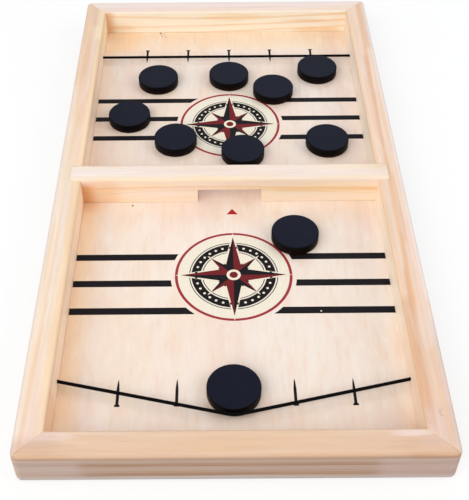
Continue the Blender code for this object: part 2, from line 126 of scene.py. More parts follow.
class Graph:
    """The node tree of a material or the world, with short ways to add nodes and join them."""

    def __init__(self, name, blocks=None, shader="Principled BSDF"):
        self.owner = (bpy.data.materials if blocks is None else blocks).new(name)
        self.owner.use_nodes = True
        self.tree = self.owner.node_tree
        self.shader = self.tree.nodes[shader]

    def put(self, socket, value):
        """Links a socket or sets its value."""
        if isinstance(value, bpy.types.NodeSocket):
            self.tree.links.new(value, socket)
        else:
            socket.default_value = value

    def node(self, kind, inputs=None, **settings):
        """Adds a node, with inputs by name or number."""
        item = self.tree.nodes.new(kind)
        for key, value in settings.items():
            setattr(item, key, value)
        for key, value in (inputs or {}).items():
            self.put(item.inputs[key], value)
        return item

    def math(self, operation, first, second=0.0):
        """One step of arithmetic."""
        return self.node("ShaderNodeMath", {0: first, 1: second}, operation=operation).outputs[0]

    def plus(self, first, second):
        """A sum."""
        return self.math("ADD", first, second)

    def minus(self, first, second):
        """A difference."""
        return self.math("SUBTRACT", first, second)

    def times(self, first, second):
        """A product."""
        return self.math("MULTIPLY", first, second)

    def noise(self, vector, scale, detail, roughness):
        """Grey noise from 0 to 1."""
        inputs = {"Vector": vector, "Scale": scale, "Detail": detail, "Roughness": roughness}
        return self.node("ShaderNodeTexNoise", inputs).outputs["Fac"]

    def grain(self, vector, lengthwise, crosswise, detail=2.0, roughness=0.5, shift=0.0):
        """Noise drawn out along X, by its cells to the metre."""
        inputs = {"Vector": vector, "Scale": (lengthwise, crosswise, crosswise), "Location": (shift, 0, 0)}
        return self.noise(self.node("ShaderNodeMapping", inputs).outputs[0], 1.0, detail, roughness)

    def remap(self, value, low, high, to_low=0.0, to_high=1.0, curve="LINEAR"):
        """Stretches a range of values to another, held at its ends."""
        inputs = {"Value": value, "From Min": low, "From Max": high, "To Min": to_low, "To Max": to_high}
        return self.node("ShaderNodeMapRange", inputs, interpolation_type=curve, clamp=True).outputs[0]

    def ease(self, value, low, high, to_low=0.0, to_high=1.0):
        """The same with a soft start and end."""
        return self.remap(value, low, high, to_low, to_high, "SMOOTHSTEP")

    def mix(self, share, first, second, blend="MIX"):
        """Mixes two colours."""
        item = self.node("ShaderNodeMix", data_type="RGBA", blend_type=blend)
        for key, value in (("Factor", share), (6, first), (7, second)):
            self.put(item.inputs[key], value)
        return item.outputs[2]

    def seen(self):
        """1 where the camera or a reflection looks, and 0 for light."""
        path = self.node("ShaderNodeLightPath").outputs
        reflected = self.math("MAXIMUM", path["Is Camera Ray"], path["Is Glossy Ray"])
        return self.math("MAXIMUM", reflected, path["Is Transmission Ray"])

    def object_place(self):
        """The point on the piece, in metres."""
        return self.node("ShaderNodeTexCoord").outputs["Object"]

    def split(self, vector):
        """A vector's three parts."""
        return self.node("ShaderNodeSeparateXYZ", {0: vector}).outputs

    def shade(self, colour, tone):
        """Darkens or lightens a colour by a factor."""
        grey = self.node("ShaderNodeCombineColor", {0: tone, 1: tone, 2: tone}).outputs[0]
        return self.mix(1.0, colour, grey, "MULTIPLY")

    def bump(self, height, strength, distance):
        """Ties a height to the shader's normal."""
        inputs = {"Height": height, "Strength": strength, "Distance": distance}
        self.put(self.shader.inputs["Normal"], self.node("ShaderNodeBump", inputs).outputs[0])

    def finish(self, colour, roughness, specular=0.5):
        """Sets the shader's main inputs and gives the material back."""
        self.put(self.shader.inputs["Base Color"], colour)
        self.put(self.shader.inputs["Roughness"], roughness)
        self.put(self.shader.inputs["Specular IOR Level"], specular)
        return self.owner


# Wood

MM = 0.001
WOOD_SPECULAR = 0.15
# How softly a patch of colour ends along the grain, at least, in millimetres
PATCH_END = 12
# Shares of a blob's reach and a streak's half width with the full colour
BLOB_CORE = 0.1
STREAK_CORE = 0.2
# How far the grain wanders, in metres, and how much blobs waver
GRAIN_WANDER = 0.0045
BLOB_WAVER = 1.2
# Shares of a growth ring between which late wood rises and falls, and how late it rises
RING_RISE = (0.15, 0.86)
RING_FALL = (0.90, 1.0)
RING_POWER = 2.4
# How far each step of a board's seed moves its noise, in metres
SEED_SHIFT = Vector((0.731, 0.113, 0))
ALONG, ACROSS, UP = range(3)


class Board:
    """A board's place in its material: length along the grain, distance across it, and height.

    Places on it are in millimetres, and those across it count inward from its outer edge.
    """

    def __init__(self, graph, along, seed, edge=(0, 1)):
        self.graph = graph
        x, y, z = graph.split(graph.object_place())
        length, across = (x, y) if along == "X" else (y, x)
        # Each direction's coordinate, where its places count from, and which way
        self.ways = ((length, 0, 1), (across, *edge), (z, 0, 1))
        point = graph.node("ShaderNodeCombineXYZ", {0: length, 1: across, 2: z}).outputs[0]
        inputs = {"Vector": point, "Location": SEED_SHIFT * seed}
        self.point = graph.node("ShaderNodeMapping", inputs).outputs[0]
        self.half = INNER_HALF_LENGTH if along == "Y" else COURT_HALF_WIDTH

    def coordinate(self, way, place):
        """A place on the board as a coordinate in metres."""
        value, origin, sign = self.ways[way]
        return origin + sign * place * MM

    def noises(self, table):
        """The noises of a table, drawn out along the grain."""
        return {kind: self.graph.grain(self.point, *cells) for kind, cells in table.items()}

    def rings(self, pith, width, slope, sway):
        """Late wood from 0 to 1: growth rings about a pith line that leans along the board."""
        graph = self.graph
        offs = [graph.minus(self.ways[way][0], self.coordinate(way, place))
                for way, place in zip((ACROSS, UP), pith)]
        square = graph.plus(*(graph.times(off, off) for off in offs))
        lean = graph.times(self.ways[ALONG][0], slope)
        radius = graph.plus(graph.plus(graph.math("SQRT", square), lean), sway)
        ring = graph.math("FRACT", graph.math("DIVIDE", radius, width * MM))
        rise = graph.math("POWER", graph.ease(ring, *RING_RISE), RING_POWER)
        return graph.times(rise, graph.ease(ring, *RING_FALL, 1.0, 0.0))

    def streak(self, way, path, half, amount, wander):
        """One band of grain along the board, through three places across it or three heights."""
        graph = self.graph
        start, middle, end = (self.coordinate(way, place) for place in path)
        share = graph.math("DIVIDE", self.ways[ALONG][0], self.half)
        bend = graph.plus(graph.times(share, (start + end) / 2 - middle), (end - start) / 2)
        centre = graph.plus(graph.times(share, bend), middle)
        off = graph.math("ABSOLUTE", graph.minus(graph.plus(self.ways[way][0], wander), centre))
        return graph.ease(off, half * MM * STREAK_CORE, half * MM, amount, 0.0)

    def patch(self, along, across, height, feather, amount):
        """A soft-edged block of the board, by its span in each direction. None is the whole of one."""
        graph = self.graph
        mask = amount
        for way, span in enumerate((along, across, height)):
            if span:
                value = self.ways[way][0]
                soft = MM * (max(feather, PATCH_END) if way == ALONG else feather)
                low, high = sorted(self.coordinate(way, place) for place in span)
                mask = graph.times(mask, graph.ease(value, low - soft, low))
                mask = graph.times(mask, graph.ease(value, high, high + soft, 1.0, 0.0))
        return mask

    def blob(self, along, across, height, amount, waver):
        """A soft round patch, by its middle and reach in each direction. None is the whole of one."""
        graph = self.graph
        total = waver
        for way, spot in enumerate((along, across, height)):
            if spot:
                middle, reach = spot
                off = graph.minus(self.ways[way][0], self.coordinate(way, middle))
                off = graph.math("DIVIDE", off, reach * MM)
                total = graph.plus(total, graph.times(off, off))
        return graph.ease(total, BLOB_CORE, 1.0, amount, 0.0)


# Noise on pine: cells to the metre along the grain and across it, detail, roughness, and shift
PINE_NOISE = {
    "wander": (7, 25), "cloud": (13, 120, 3.0, 0.55), "wide": (7, 60, 2.0, 0.5, 3.1),
    "line": (22, 360, 3.0, 0.6, 1.3), "fibre": (70, 1500, 3.0, 0.6), "patchy": (9, 45, 2.0, 0.5, 5.7),
    "waver": (40, 180),
}


def pine(name, along, edge, seed, palette, rings,
         patches=(), blobs=(), face_streaks=(), top_streaks=(), covers=()):
    """Pine with soft clouds of colour, growth rings, patches, listed streaks and fine fibres."""
    graph = Graph(name)
    board = Board(graph, along, seed, edge)
    pale, warm, pink, late = (rgb(*shade) for shade in palette)
    noise = board.noises(PINE_NOISE)
    wander = graph.times(graph.minus(noise["wander"], 0.5), GRAIN_WANDER)
    patchy = graph.remap(noise["patchy"], 0.32, 0.66, 0.45, 1.0)
    colour = graph.mix(graph.ease(noise["cloud"], 0.40, 0.62), pale, warm)
    colour = graph.mix(graph.ease(noise["wide"], 0.48, 0.66, 0.0, 0.8), colour, pink)
    pith, width, slope, contrast = rings
    ring = graph.times(board.rings(pith, width, slope, wander), patchy)
    colour = graph.mix(graph.times(ring, contrast), colour, late)
    for *patch, shade in patches:
        colour = graph.mix(board.patch(*patch), colour, rgb(*shade))
    waver = graph.times(graph.minus(noise["waver"], 0.5), BLOB_WAVER)
    for *blob, shade in blobs:
        colour = graph.mix(board.blob(*blob, waver), colour, rgb(*shade))
    for way, streaks in ((UP, face_streaks), (ACROSS, top_streaks)):
        for *streak, shade in streaks:
            band = graph.times(board.streak(way, *streak, wander), patchy)
            colour = graph.mix(band, colour, rgb(*shade))
    for *patch, shade in covers:
        colour = graph.mix(board.patch(*patch), colour, rgb(*shade))
    line, fibre = noise["line"], noise["fibre"]
    tone = graph.times(graph.remap(line, 0.3, 0.7, 0.955, 1.025), graph.remap(fibre, 0.25, 0.75, 0.96, 1.02))
    graph.bump(graph.plus(graph.times(fibre, 0.6), line), 0.18, 0.0002)
    roughness = graph.remap(line, 0.2, 0.8, 0.48, 0.62)
    return graph.finish(graph.shade(colour, tone), roughness, WOOD_SPECULAR)


ROSE = (242, 214, 198)
TAN = (232, 194, 156)
LILAC = (240, 220, 212)

# What each board shows, in millimetres, with places across it counted inward from its outer edge.
# edge: that edge's coordinate in metres, and the way inward. palette: pale, warm and pink wood, late wood.
# rings: the pith's place across the board and its height, a ring's width, the pith's lean, strength.
# patches, and covers over all else: spans along, across and up, soft end, strength, colour.
# blobs: middle and reach along, across and up, strength, colour.
# streaks: places at the board's start, middle and end, by height on faces, half width, strength, colour.
# Spans that several share: heights of the top and of its edges, and depths of the rails' and the bar's faces.
# Some patches and covers are painted light and shade on the faces, marked where they stand.
TOP = (29, 31)
EDGE = (27, 31)
OUTER = (-1, 0.4)
INNER = (20.8, 30)
BAR = (-11, -9.8)

NEAR_RAIL = dict(
    along="X", edge=(-HALF_LENGTH, 1), seed=3,
    palette=((237, 208, 183), (236, 202, 170), (232, 200, 180), (214, 170, 136)),
    rings=((-50, 95), 6.2, 0.01, 0.15),
    patches=(
        # Painted shade: the outer face darker than the wood
        (None, OUTER, (0, 27.5), 2, 0.6, (214, 182, 164)),
        (None, None, (28.8, 31), 1, 0.25, (212, 172, 145)),
    ),
    blobs=(
        ((118, 20), (17, 3.6), None, 0.6, (246, 228, 222)),
        ((-124, 22), (15.8, 4.2), None, 0.7, (244, 226, 220)),
        ((130, 35), (7, 9), None, 0.5, (218, 180, 150)),
        ((-130, 30), (7, 8), None, 0.45, (218, 180, 150)),
    ),
    face_streaks=(
        ((20.8, 20, 20.5), 2.6, 0.7, (204, 160, 132)),
        ((8.8, 8.4, 8.6), 3, 0.75, (200, 156, 128)),
        ((7.4, 7, 7.2), 0.9, 0.6, (176, 138, 114)),
        ((19.6, 19, 19.3), 0.9, 0.6, (184, 144, 120)),
        ((22.2, 21.6, 22), 0.7, 0.45, (190, 150, 126)),
        ((12.2, 11.8, 12), 0.7, 0.4, (194, 156, 132)),
        ((15, 15.2, 14.8), 2.4, 0.6, (226, 198, 186)),
        ((24.5, 24.3, 24.8), 1.8, 0.6, (228, 200, 186)),
        ((3, 3.5, 3), 3, 0.8, (240, 226, 222)),
    ),
    top_streaks=(
        ((16, 9, 6), 3, 0.4, (226, 186, 150)),
        ((6, 6, 14), 3, 0.35, (228, 188, 152)),
        ((20, 16.5, 20), 2, 0.4, (240, 214, 190)),
    ),
    covers=(
        (None, (-1, 1.6), EDGE, 1.2, 0.45, (214, 174, 143)),
        ((-150, -115), (-1, 1.8), EDGE, 1.2, 0.3, (212, 168, 132)),
        ((120, 150), (-1, 1.8), EDGE, 1.2, 0.35, (210, 160, 116)),
        ((-150, -128), (1, 7.5), TOP, 2, 0.3, (220, 176, 146)),
        ((134, 150), (1, 7.5), TOP, 2, 0.3, (226, 190, 166)),
        ((-150, -125), (7.5, 19), TOP, 2, 0.3, (212, 180, 166)),
        ((130, 150), (7.5, 14), TOP, 2, 0.3, (226, 198, 190)),
        (None, OUTER, (0, 3.5), 1.2, 0.3, (214, 215, 221)),
        # Painted light: the outer face lighter towards its ends than in its shaded middle
        ((-150, -110), OUTER, (0, 25), 2, 0.35, (242, 226, 222)),
        ((102, 150), OUTER, (0, 25), 2, 0.42, (246, 222, 216)),
    ),
)
FAR_RAIL = dict(
    along="X", edge=(HALF_LENGTH, -1), seed=7,
    palette=((247, 226, 212), (248, 222, 200), (244, 218, 208), TAN),
    rings=((-30, -75), 9, 0.012, 0.12),
    patches=(
        # Painted light: the inner face lighter than the wood, and lightest at its foot; painted shade: orange
        # in its left corner
        (None, INNER, None, 2, 0.8, (255, 246, 226)),
        (None, INNER, (4, 7.5), 2, 0.6, (255, 247, 230)),
        ((-150, -128), INNER, None, 2, 0.6, (226, 160, 96)),
        (None, (0, 11), TOP, 5, 0.6, (243, 230, 227)),
    ),
    blobs=(
        ((-115, 20), None, (11, 4.5), 0.25, (240, 184, 120)),
        ((98, 35), None, (6.5, 5), 0.55, (244, 194, 132)),
        ((10, 45), None, (23.5, 6), 0.35, (248, 208, 140)),
        ((85, 30), None, (18, 3), 0.4, (240, 196, 146)),
    ),
    face_streaks=(
        ((25.5, 22, 26.4), 2.2, 0.75, (240, 194, 136)),
        ((12, 12.8, 19), 2, 0.65, (236, 188, 130)),
        ((4, 5, 11.5), 2, 0.5, (240, 194, 138)),
    ),
    top_streaks=(
        ((12.5, 12.5, 11), 2, 0.5, (240, 206, 190)),
    ),
)
LEFT_RAIL = dict(
    along="Y", edge=(-HALF_WIDTH, 1), seed=11,
    palette=((247, 229, 209), (246, 220, 194), ROSE, TAN),
    rings=((75, 80), 3.6, 0.012, 0.2),
    patches=(
        ((150, 280), (0, 12), None, 40, 0.55, (232, 196, 166)),
    ),
    blobs=(
        ((-80, 70), (9.5, 5), None, 0.5, (251, 236, 222)),
        ((85, 30), (11.5, 3), None, 0.5, (240, 196, 156)),
        ((117, 16), (12, 6), None, 0.4, (240, 206, 190)),
        ((190, 55), (8.5, 3), None, 0.6, (232, 190, 154)),
    ),
    top_streaks=(
        ((17.8, 17.5, 17.2), 2.6, 0.6, (248, 220, 180)),
        ((6, 8.5, 2), 2.6, 0.4, TAN),
        ((12, 12, 14), 2.4, 0.6, LILAC),
    ),
    covers=(
        ((-280, 120), (-1, 2.2), EDGE, 2, 0.75, (240, 225, 213)),
        ((240, 280), (12.5, 21), TOP, 8, 0.35, (217, 161, 140)),
        ((-280, -272), None, TOP, 1, 0.5, (210, 168, 150)),
        ((-235, 130), (16.5, 20), TOP, 1.5, 0.25, (250, 208, 148)),
        ((15, 115), (13.5, 15.5), TOP, 1.5, 0.3, (244, 190, 148)),
        # Painted light: the inner face lighter than the wood, dimmer and warmer at its near end, lighter at
        # its far end
        (None, INNER, None, 1.6, 0.9, (255, 231, 206)),
        ((-280, -230), INNER, None, 1.6, 0.75, (246, 206, 172)),
        ((215, 280), INNER, None, 12, 0.8, (255, 236, 198)),
        (None, INNER, (27.5, 31), 3, 0.55, (236, 192, 146)),
        # Painted shade: a warm darker line at the inner face's foot, by the floor
        (None, INNER, (4, 6.2), 1.6, 0.4, (232, 176, 128)),
    ),
)
RIGHT_RAIL = dict(
    along="Y", edge=(HALF_WIDTH, -1), seed=17,
    palette=((245, 220, 199), (243, 211, 185), ROSE, TAN),
    rings=((120, 70), 5.2, 0.01, 0.15),
    blobs=(
        ((80, 80), (8.5, 3), None, 0.55, (244, 222, 206)),
        ((140, 60), (5.5, 3), None, 0.5, (246, 226, 214)),
        ((-150, 50), (14.5, 2.8), None, 0.8, (230, 178, 134)),
        ((-215, 60), (18.5, 4.5), None, 0.9, (224, 172, 132)),
        ((-174, 23), (8.5, 11), None, 0.75, (252, 236, 228)),
        ((-261, 6), (16, 6), None, 0.5, (246, 228, 222)),
        ((-260, 25), (6, 10), None, 0.55, (226, 192, 162)),
        ((-246.8, 3.4), (10, 0.9), None, 0.75, (170, 132, 106)),
        ((-249.4, 1.3), (9.2, 1.2), None, 0.85, (150, 112, 90)),
        ((-244.8, 1.2), (8.4, 0.9), None, 0.6, (186, 148, 122)),
    ),
    top_streaks=(
        ((15, 11.2, 8.5), 2.8, 0.8, (234, 186, 144)),
        ((19, 15, 14), 1.8, 0.45, LILAC),
        ((7, 7.5, 1), 1.8, 0.25, TAN),
    ),
    covers=(
        ((-140, 280), (-1, 2.2), EDGE, 2, 0.75, (245, 232, 226)),
        # Painted light: the inner face lighter than the wood, most of all in the far court
        (None, INNER, None, 1.6, 0.85, (255, 241, 222)),
        ((15, 280), INNER, None, 1.6, 0.6, (255, 243, 228)),
        ((-280, -175), INNER, None, 30, 0.4, (242, 206, 178)),
        (None, INNER, (27.5, 31), 3, 0.6, (240, 196, 152)),
        (None, INNER, (20, 21.5), 1, 0.3, (244, 208, 168)),
        ((-255, -150), (15, 20.5), TOP, 2, 0.45, (218, 164, 126)),
        ((-280, -160), (4.5, 15), TOP, 2, 0.35, (222, 187, 163)),
        ((-280, -170), (-1, 3.5), TOP, 1.2, 0.4, (214, 200, 206)),
        ((-280, -250), (8, 20), TOP, 2, 0.3, (234, 212, 210)),
        ((195, 280), (4, 7), TOP, 2.5, 0.4, (217, 174, 148)),
        ((-80, -10), (7.5, 9.5), TOP, 1.5, 0.4, (228, 180, 147)),
        ((40, 170), (10.5, 12.5), TOP, 1.5, 0.4, (221, 174, 151)),
        ((-145, -80), (10.5, 12.5), TOP, 1.5, 0.4, (229, 178, 141)),
        ((50, 135), (13.5, 15.5), TOP, 1.5, 0.4, (241, 195, 160)),
    ),
)
GATE_BAR = dict(
    along="X", edge=(0, 1), seed=23,
    palette=((249, 232, 219), (250, 228, 204), (245, 226, 220), TAN),
    rings=((30, -100), 9, 0.01, 0.12),
    patches=(
        # Painted shade: orange on the face's left end, in the corner by the left rail
        ((-130, -126), BAR, (0, 20), 10, 0.85, (222, 142, 78)),
        ((-120, -105), BAR, (0, 21), 15, 0.4, (240, 176, 112)),
    ),
    blobs=(
        ((85, 80), None, (19, 4), 0.5, (240, 190, 130)),
        ((-115, 35), (6.5, 6), (31.5, 5), 0.6, (240, 208, 178)),
        ((140, 25), (3, 11), (31.5, 5), 0.6, (236, 204, 174)),
        ((-115, 50), (1, 9), (31.5, 5), 0.6, (252, 242, 232)),
        ((100, 50), (0, 11), (31.5, 5), 0.4, (249, 232, 208)),
    ),
    face_streaks=(
        ((20, 21.5, 19), 3, 0.45, (242, 192, 138)),
        ((20.5, 23, 19), 1.4, 0.55, (230, 178, 126)),
        ((13, 19, 14.5), 1.2, 0.4, (234, 188, 142)),
    ),
    top_streaks=(
        ((0.5, 0, -1), 5, 0.5, (244, 226, 222)),
        ((-8.5, -8.8, -8.8), 2.2, 0.45, (250, 222, 172)),
    ),
)
BOARDS = {"rail_near": NEAR_RAIL, "rail_far": FAR_RAIL, "rail_left": LEFT_RAIL, "rail_right": RIGHT_RAIL,
          "gate_bar": GATE_BAR}

# Noise on veneer, as on pine
VENEER_NOISE = {
    "cloud": (11, 36, 3.0, 0.5), "rosy": (8, 26, 2.0, 0.5, 2.2), "line": (22, 190, 4.0, 0.6, 0.9),
    "flame": (48, 150, 3.0, 0.6, 4.4), "fibre": (60, 1500, 2.0, 0.6), "dash": (60, 900, 2.0, 0.7),
}
# Streaks of the veneer: their noise, where it starts and ends, strength and colour
VENEER_STREAKS = (
    ("line", 0.50, 0.74, 0.45, (238, 210, 186)), ("flame", 0.52, 0.70, 0.35, (240, 208, 190)),
    ("flame", 0.46, 0.32, 0.30, (250, 240, 230)),
)
VENEER_SEED = 5
# How far under the panel's top, in metres, its printed side's warmer tones and painted bounce light end and
# begin to fade
TONE_AND_BOUNCE_DEPTHS = (0.0010, 0.0002)
# Small dark pin knots in the veneer, each as x, y and radius in millimetres
PIN_KNOTS = ((-85.6, -14.1, 1.4), (-71.1, 257.6, 1.8), (-70, 254.2, 1), (-66.8, 254.8, 1), (-69, 251.2, 1),
             (-65.5, 250.5, 1.1))
PIN_KNOT_CORE = 0.4
PIN_KNOT_STRENGTH = 0.85
# Warmer and paler parts of the veneer, as a board's patches. The warm ones along the rails and the bar are
# painted light bounced off the wood, with painted shade in the corner by the bar; the pale ones are the
# veneer's own tone.
FLOOR_TONES_AND_BOUNCE = (
    ((238, 260), None, None, 22, 0.6, (251, 222, 184)),
    ((230, 260), (-130, -105), None, 25, 0.7, (252, 210, 162)),
    ((-260, -10), (-130, -124), None, 18, 0.8, (255, 220, 180)),
    ((-15, -10), (-130, -120), None, 8, 0.5, (240, 190, 140)),
    ((215, 250), (-85, -25), None, 15, 0.5, (246, 216, 186)),
    ((-260, -150), (126, 130), None, 12, 0.6, (250, 222, 190)),
    ((10, 40), (90, 130), None, 15, 0.4, (246, 218, 190)),
    ((10, 260), (-130, -126), None, 15, 0.5, (252, 222, 192)),
    ((30, 150), (70, 130), None, 30, 0.4, (248, 234, 226)),
    ((-200, -50), (30, 130), None, 40, 0.5, (241, 231, 221)),
)


def plywood():
    """Pale rotary-cut veneer: long soft streaks, clouds, and a few pin knots."""
    graph = Graph("plywood")
    board = Board(graph, "Y", VENEER_SEED)
    noise = board.noises(VENEER_NOISE)
    cloud = graph.ease(noise["cloud"], 0.38, 0.62)
    rosy = graph.ease(noise["rosy"], 0.45, 0.68, 0.0, 0.7)
    colour = graph.mix(cloud, rgb(246, 231, 218), rgb(245, 225, 207))
    colour = graph.mix(rosy, colour, rgb(243, 219, 206))
    upper = graph.remap(board.ways[UP][0], *(PANEL_TOP - depth for depth in TONE_AND_BOUNCE_DEPTHS))
    # Painted bounce light and shade along the rails and the bar, with the veneer's own paler tones
    for *patch, shade in FLOOR_TONES_AND_BOUNCE:
        colour = graph.mix(graph.times(board.patch(*patch), upper), colour, rgb(*shade))
    for kind, low, high, amount, shade in VENEER_STREAKS:
        colour = graph.mix(graph.ease(noise[kind], low, high, 0.0, amount), colour, rgb(*shade))
    colour = graph.mix(graph.remap(noise["dash"], 0.68, 0.80, 0.0, 0.3), colour, rgb(220, 182, 150))
    place = graph.object_place()
    for knot in PIN_KNOTS:
        x, y, radius = (value * MM for value in knot)
        ends = {0: place, 1: (x, y, PANEL_TOP)}
        away = graph.node("ShaderNodeVectorMath", ends, operation="DISTANCE").outputs["Value"]
        mark = graph.ease(away, radius * PIN_KNOT_CORE, radius, PIN_KNOT_STRENGTH, 0.0)
        colour = graph.mix(mark, colour, rgb(112, 76, 52))
    colour = graph.shade(colour, graph.remap(noise["fibre"], 0.25, 0.75, 0.97, 1.0))
    graph.bump(noise["fibre"], 0.10, 0.0001)
    return graph.finish(colour, graph.remap(noise["line"], 0.2, 0.8, 0.44, 0.56), WOOD_SPECULAR)


# Paint, ink, elastic, wire and glue

# How much lighter worn ink is: a factor, and a little more
WORN_INK_FACTOR = 1.35
WORN_INK_LIFT = 0.004
# The braid's strands each way, and how many times each passes in a metre
STRANDS = 6.0
STRANDS_TO_METRE = 1100.0


def ink(name, *shade):
    """Printed ink that lets a little of the veneer's streaks through."""
    graph = Graph(name)
    line = graph.grain(Board(graph, "Y", VENEER_SEED).point, 12, 700, 3.0, 0.6)
    speck = graph.noise(graph.object_place(), 900.0, 2.0, 0.6)
    colour = rgb(*shade)
    lighter = tuple(min(1.0, value * WORN_INK_FACTOR + WORN_INK_LIFT) for value in colour[:3]) + (1.0,)
    wear = graph.times(graph.remap(line, 0.5, 0.75), graph.remap(speck, 0.4, 0.7))
    graph.bump(line, 0.1, 0.00005)
    return graph.finish(graph.mix(wear, colour, lighter), graph.remap(speck, 0.2, 0.8, 0.55, 0.66), 0.08)


def black_paint():
    """Satin paint over turned wood with faint grain under it; the blue on its flat faces is a painted sheen
    and the brown at the foot of its sides a painted reflection of the floor.
    """
    graph = Graph("black_paint")
    place = graph.object_place()
    grain = graph.grain(place, 60, 900, 3.0, 0.6)
    cloud = graph.noise(place, 90.0, 2.0, 0.5)
    dust = graph.noise(place, 2600.0, 2.0, 0.6)
    upright = graph.split(graph.node("ShaderNodeTexCoord").outputs["Normal"])[2]
    flat = graph.ease(graph.math("ABSOLUTE", upright), 0.80, 1.0)
    # Painted sheen: the flat faces take a bluish colour that stands in for reflected light
    painted_sheen = graph.mix(graph.remap(cloud, 0.3, 0.7), rgb(19, 21, 32), rgb(23, 25, 37))
    # Painted reflection of the warm floor: brown at the foot of the sides, fading to black above
    foot = graph.ease(graph.split(place)[2], 0.0008, 0.0050)
    colour = graph.mix(flat, graph.mix(foot, rgb(27, 12, 5), rgb(9, 5, 3)), painted_sheen)
    colour = graph.mix(graph.remap(dust, 0.74, 0.82, 0.0, 0.3), colour, rgb(44, 44, 52))
    graph.bump(graph.plus(grain, graph.times(dust, 0.25)), 0.12, 0.00015)
    graph.shader.inputs["Specular Tint"].default_value = rgb(214, 224, 255)
    return graph.finish(colour, graph.remap(cloud, 0.25, 0.75, 0.42, 0.52), 0.06)


def woven_elastic():
    """Black braid: two sets of strands that cross round the cord."""
    graph = Graph("woven_elastic")
    along, around = graph.split(graph.node("ShaderNodeUVMap", uv_map="braid").outputs[0])[:2]

    def strands(sign):
        """Rounded ridges that wind one way."""
        wind = graph.times(around, STRANDS * sign)
        turn = graph.math("FRACT", graph.plus(graph.times(along, STRANDS_TO_METRE), wind))
        return graph.math("SINE", graph.times(turn, math.pi))

    weave = graph.math("MAXIMUM", strands(1), strands(-1))
    fuzz = graph.noise(graph.object_place(), 4000.0, 2.0, 0.6)
    # Painted shade: the grooves between strands darker, the ridges lighter
    colour = graph.mix(graph.remap(weave, 0.55, 1.0), rgb(3, 3, 4), rgb(9, 8, 10))
    graph.bump(graph.plus(weave, graph.times(fuzz, 0.3)), 0.6, 0.00012)
    return graph.finish(colour, 0.75, 0.05)


def bright_steel():
    """Drawn wire with fine scratches."""
    graph = Graph("bright_steel")
    scratch = graph.grain(graph.object_place(), 300, 2500, 3.0, 0.6)
    graph.shader.inputs["Metallic"].default_value = 1.0
    graph.bump(scratch, 0.15, 0.00005)
    colour = graph.mix(graph.remap(scratch, 0.3, 0.7), rgb(168, 168, 170), rgb(204, 204, 206))
    return graph.finish(colour, graph.remap(scratch, 0.2, 0.8, 0.28, 0.42))


def glue():
    """Dried wood glue in the joints, close to the wood's own colour."""
    graph = Graph("glue")
    spot = graph.noise(graph.object_place(), 500.0, 2.0, 0.5)
    return graph.finish(graph.mix(spot, rgb(230, 198, 168), rgb(240, 210, 182)), 0.5, WOOD_SPECULAR)


# Meshes

def add_object(name, data):
    """A new object in the scene."""
    item = bpy.data.objects.new(name, data)
    bpy.context.scene.collection.objects.link(item)
    return item


def link(name, mesh, material, body):
    """A finished piece with its material and the body that it rides on."""
    piece = add_object(name, mesh)
    mesh.materials.append(material)
    if body:
        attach(piece, body)
    return piece


def mesh_of(shape, name, smooth_angle=None):
    """Turns a bmesh into a mesh, shaded smooth below an angle in degrees."""
    mesh = bpy.data.meshes.new(name)
    shape.to_mesh(mesh)
    shape.free()
    if smooth_angle is not None:
        mesh.shade_smooth()
        mesh.set_sharp_from_angle(angle=math.radians(smooth_angle))
    return mesh


def joined(node):
    """A node's own form, with its doubled points joined so that rounded edges can shade smoothly."""
    shape = bmesh.new()
    shape.from_mesh(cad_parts[node].data)
    bmesh.ops.remove_doubles(shape, verts=shape.verts, dist=MERGE)
    return shape


def dress_board(node, material):
    """A board's own form in its wood, with even normals."""
    name = f"{node}_wood"
    piece = link(name, mesh_of(joined(node), name, WOOD_SMOOTH_ANGLE), material, "board")
    shade = piece.modifiers.new("even_normals", "WEIGHTED_NORMAL")
    shade.keep_sharp = True
    shade.weight = 100
    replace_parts(piece, node)


def thicken(shape, faces, way):
    """Draws faces out into a solid."""
    grown = bmesh.ops.extrude_face_region(shape, geom=faces)["geom"]
    moved = [item for item in grown if isinstance(item, bmesh.types.BMVert)]
    bmesh.ops.translate(shape, verts=moved, vec=way)


def link_flat(shape, name, material):
    """A piece of the board with flat faces, turned outward."""
    bmesh.ops.recalc_face_normals(shape, faces=shape.faces)
    link(name, mesh_of(shape, name), material, "board")


def flat_ink(name, outlines, material, level):
    """Thin printed shapes on the panel, each an XY outline."""
    shape = bmesh.new()
    low = PANEL_TOP + INK_LIFT + level * (INK_THICKNESS + INK_LIFT)
    for outline in outlines:
        base = shape.faces.new([shape.verts.new((x, y, low)) for x, y in outline])
        base.normal_update()
        if base.normal.z > 0:
            base.normal_flip()
        thicken(shape, [base], (0, 0, INK_THICKNESS))
    link_flat(shape, name, material)


def turned(name, outline, sides):
    """Spins an outline of (radius, height) points about Z."""
    shape = bmesh.new()
    verts = [shape.verts.new((radius, 0, height)) for radius, height in outline]
    profile = verts + [shape.edges.new(pair) for pair in zip(verts, verts[1:])]
    bmesh.ops.spin(shape, geom=profile, cent=(0, 0, 0), axis=(0, 0, 1), angle=math.tau, steps=sides)
    bmesh.ops.remove_doubles(shape, verts=shape.verts, dist=MERGE / 4)
    bmesh.ops.recalc_face_normals(shape, faces=shape.faces)
    return mesh_of(shape, name, PUCK_SMOOTH_ANGLE)


